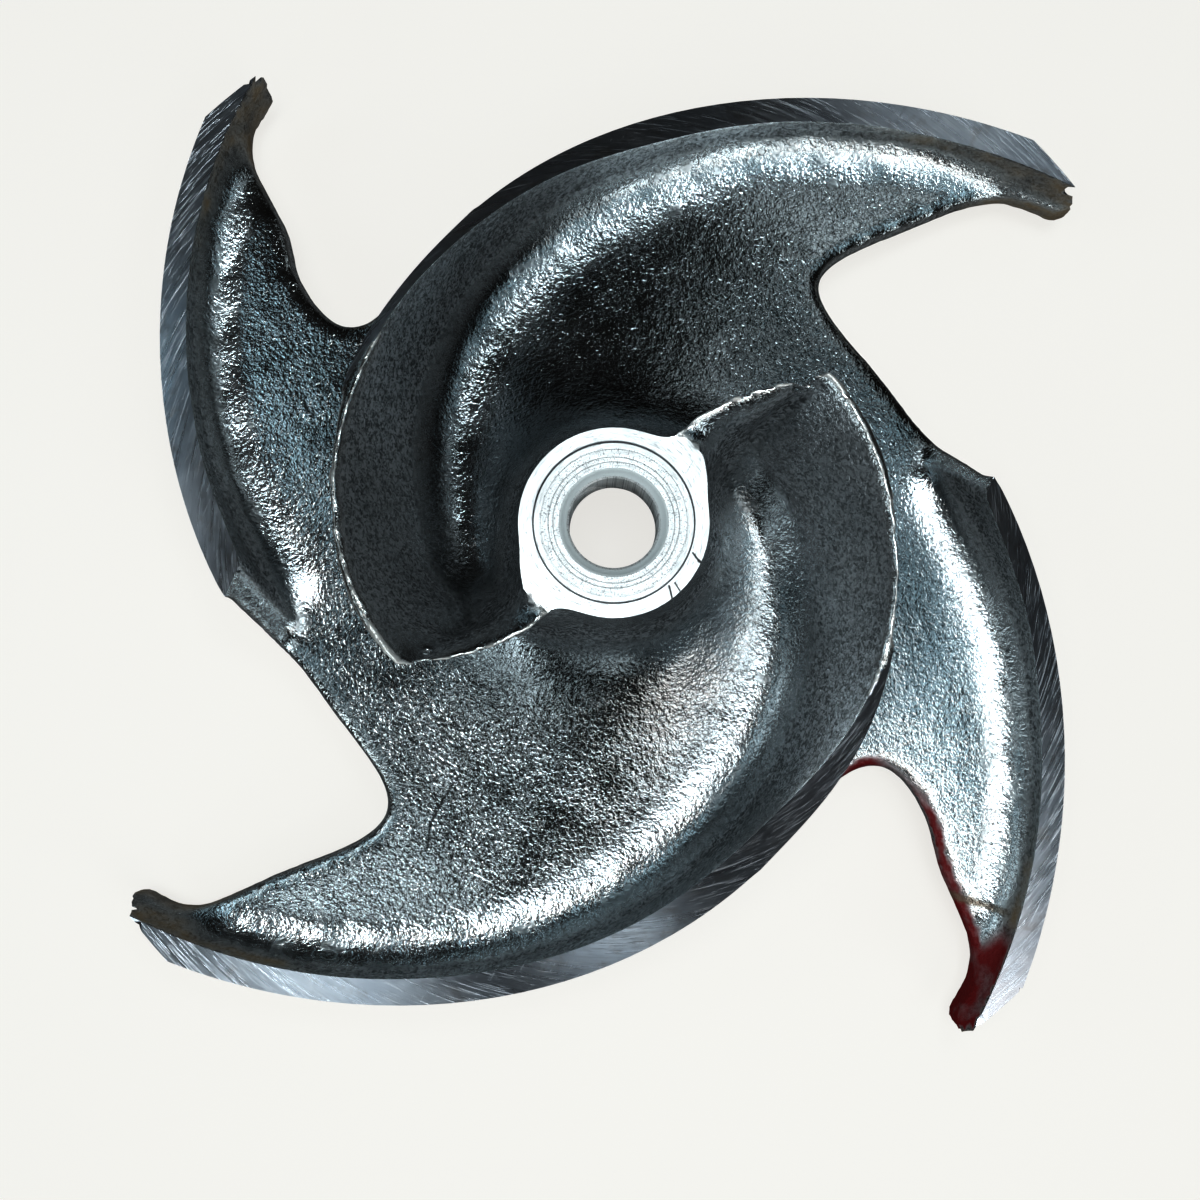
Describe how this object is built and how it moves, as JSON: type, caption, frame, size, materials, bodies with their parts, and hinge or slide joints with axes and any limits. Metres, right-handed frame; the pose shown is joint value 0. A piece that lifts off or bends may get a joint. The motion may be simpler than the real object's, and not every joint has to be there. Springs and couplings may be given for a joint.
{
  "type": "pump impeller",
  "caption": "Semi-open pump impeller with scalloped back shroud, long and splitter vanes sweeping from a bored hub to the rim.",
  "frame": {"origin": "centre of the bore at the rear face of the hub, which is what the part lies on", "axes": "+Z along the bore axis towards the suction side, the threaded hole at the front and the shaft seat behind it; +X and +Y in the plane of the shroud"},
  "size_m": [0.2868, 0.2869, 0.0915],
  "materials": {
    "casting": "cast stainless steel, glossy blasted skin with turned front edges"
  },
  "bodies": {
    "root": {"impeller": "casting"}
  },
  "joints": []
}
